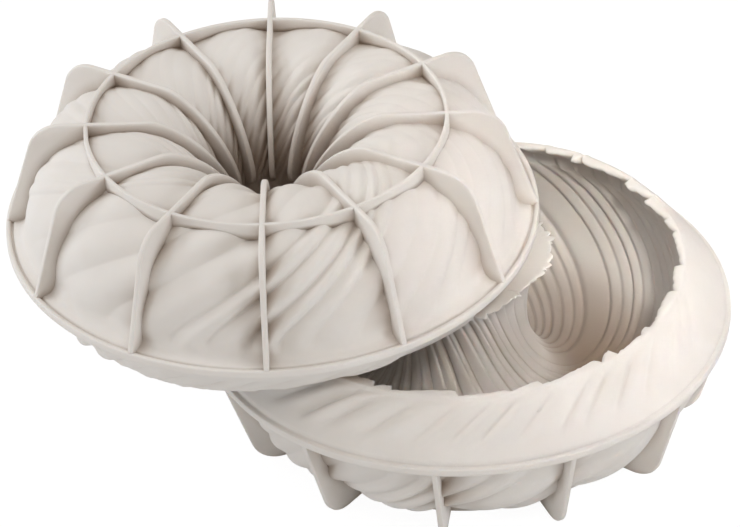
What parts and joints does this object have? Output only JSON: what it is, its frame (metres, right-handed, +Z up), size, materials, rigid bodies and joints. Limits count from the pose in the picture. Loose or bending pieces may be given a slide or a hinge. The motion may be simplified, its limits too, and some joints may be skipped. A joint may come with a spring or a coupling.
{
  "type": "silicone ring cake mould",
  "caption": "Pair of soft ring cake moulds with swirling folds and outside support fins tied by a foot ring, one standing mouth up, the other turned over on top of it.",
  "frame": {"origin": "on the surface the pair stands on, under the middle of the pair's bounding box, halfway between the two moulds' axes", "axes": "+Z up along both moulds' axes, +X from the turned mould towards the standing one, +Y away from the viewer of the picture"},
  "size_m": [0.3394, 0.25, 0.1598],
  "materials": {
    "silicone": "matte moulded silicone"
  },
  "bodies": {
    "lower_mould": {"lower_bowl": "silicone", "lower_rim": "silicone", "lower_collar": "silicone", "lower_cap": "silicone", "lower_foot_ring": "silicone", "lower_fin_01": "silicone", "lower_fin_02": "silicone", "lower_fin_03": "silicone", "lower_fin_04": "silicone", "lower_fin_05": "silicone", "lower_fin_06": "silicone", "lower_fin_07": "silicone", "lower_fin_08": "silicone", "lower_fin_09": "silicone", "lower_fin_10": "silicone", "lower_fin_11": "silicone", "lower_fin_12": "silicone"},
    "upper_mould": {"upper_bowl": "silicone", "upper_rim": "silicone", "upper_collar": "silicone", "upper_cap": "silicone", "upper_foot_ring": "silicone", "upper_fin_01": "silicone", "upper_fin_02": "silicone", "upper_fin_03": "silicone", "upper_fin_04": "silicone", "upper_fin_05": "silicone", "upper_fin_06": "silicone", "upper_fin_07": "silicone", "upper_fin_08": "silicone", "upper_fin_09": "silicone", "upper_fin_10": "silicone", "upper_fin_11": "silicone", "upper_fin_12": "silicone"}
  },
  "joints": [
    {"name": "upper_lift", "type": "slide", "parent": "lower_mould", "child": "upper_mould", "axis": [0, 0, 1], "range_m": [0, 0.15]}
  ]
}
